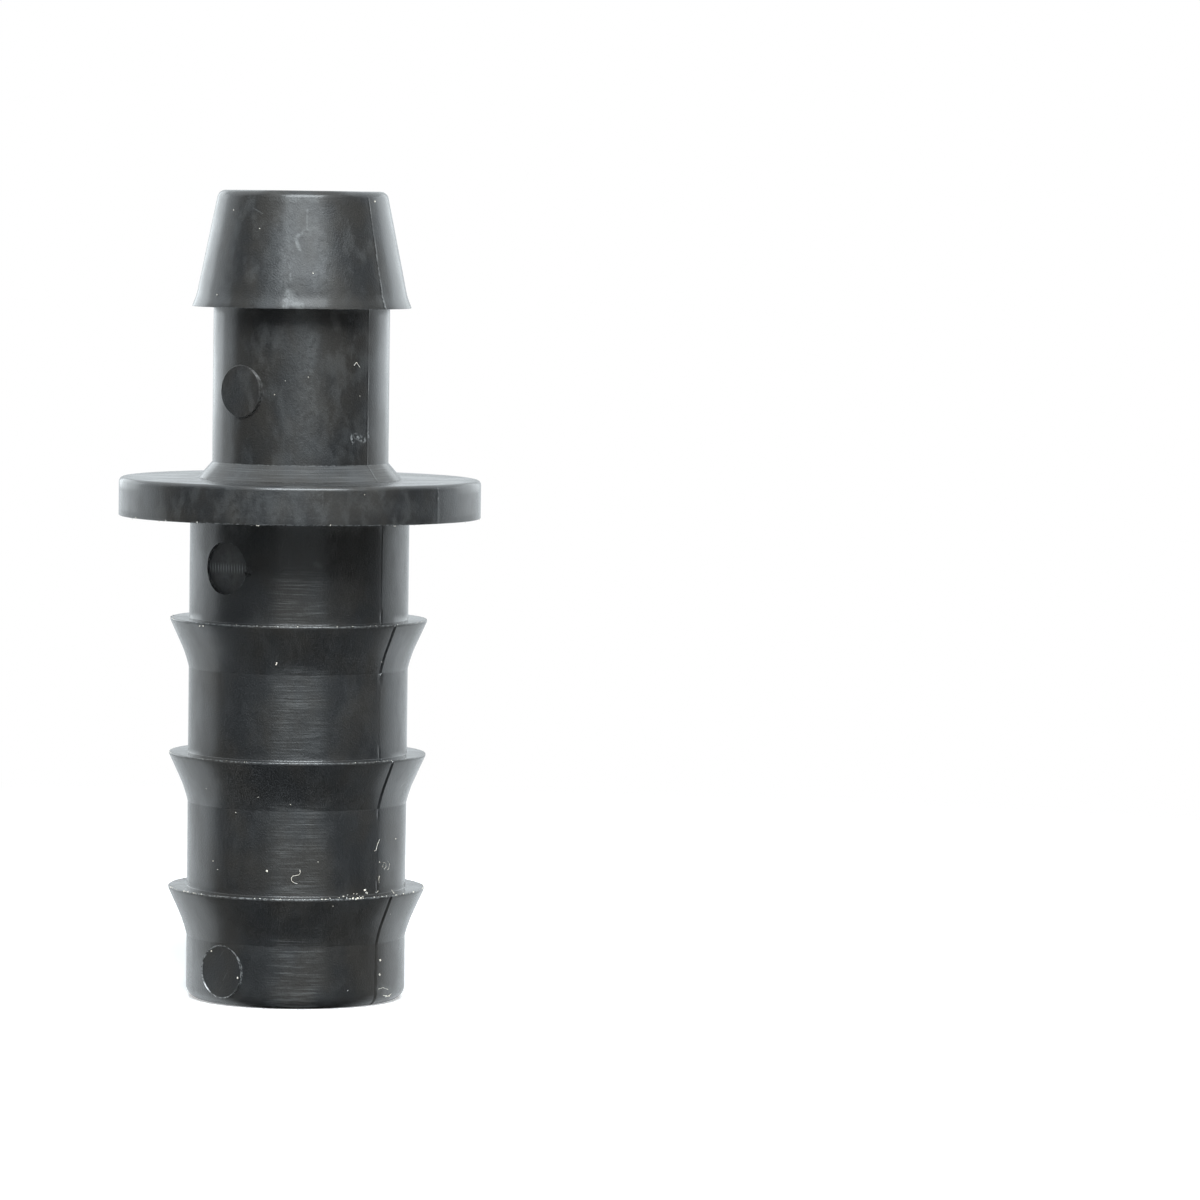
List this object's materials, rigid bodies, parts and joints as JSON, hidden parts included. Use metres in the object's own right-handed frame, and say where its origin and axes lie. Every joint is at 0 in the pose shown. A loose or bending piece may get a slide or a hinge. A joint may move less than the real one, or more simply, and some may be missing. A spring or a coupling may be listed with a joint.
{
  "type": "drip tube coupling",
  "caption": "Moulded coupling with a barbed spigot for a soft drip tube, a round flange and a slimmer stem whose cone barb snaps through a rubber seal, bored right through in a step.",
  "frame": {"origin": "middle of the tube spigot's flat end face, on the flow axis", "axes": "+Z along the flow axis, from the tube spigot's end to the cone barb's nose; -Y is the side seen in the picture, and the three pin marks face it 39.5 degrees to the left"},
  "size_m": [0.0226, 0.0226, 0.0505],
  "materials": {
    "black_plastic": "satin, slightly scuffed black thermoplastic, as moulded"
  },
  "bodies": {
    "root": {"coupling_body": "black_plastic"}
  },
  "joints": []
}
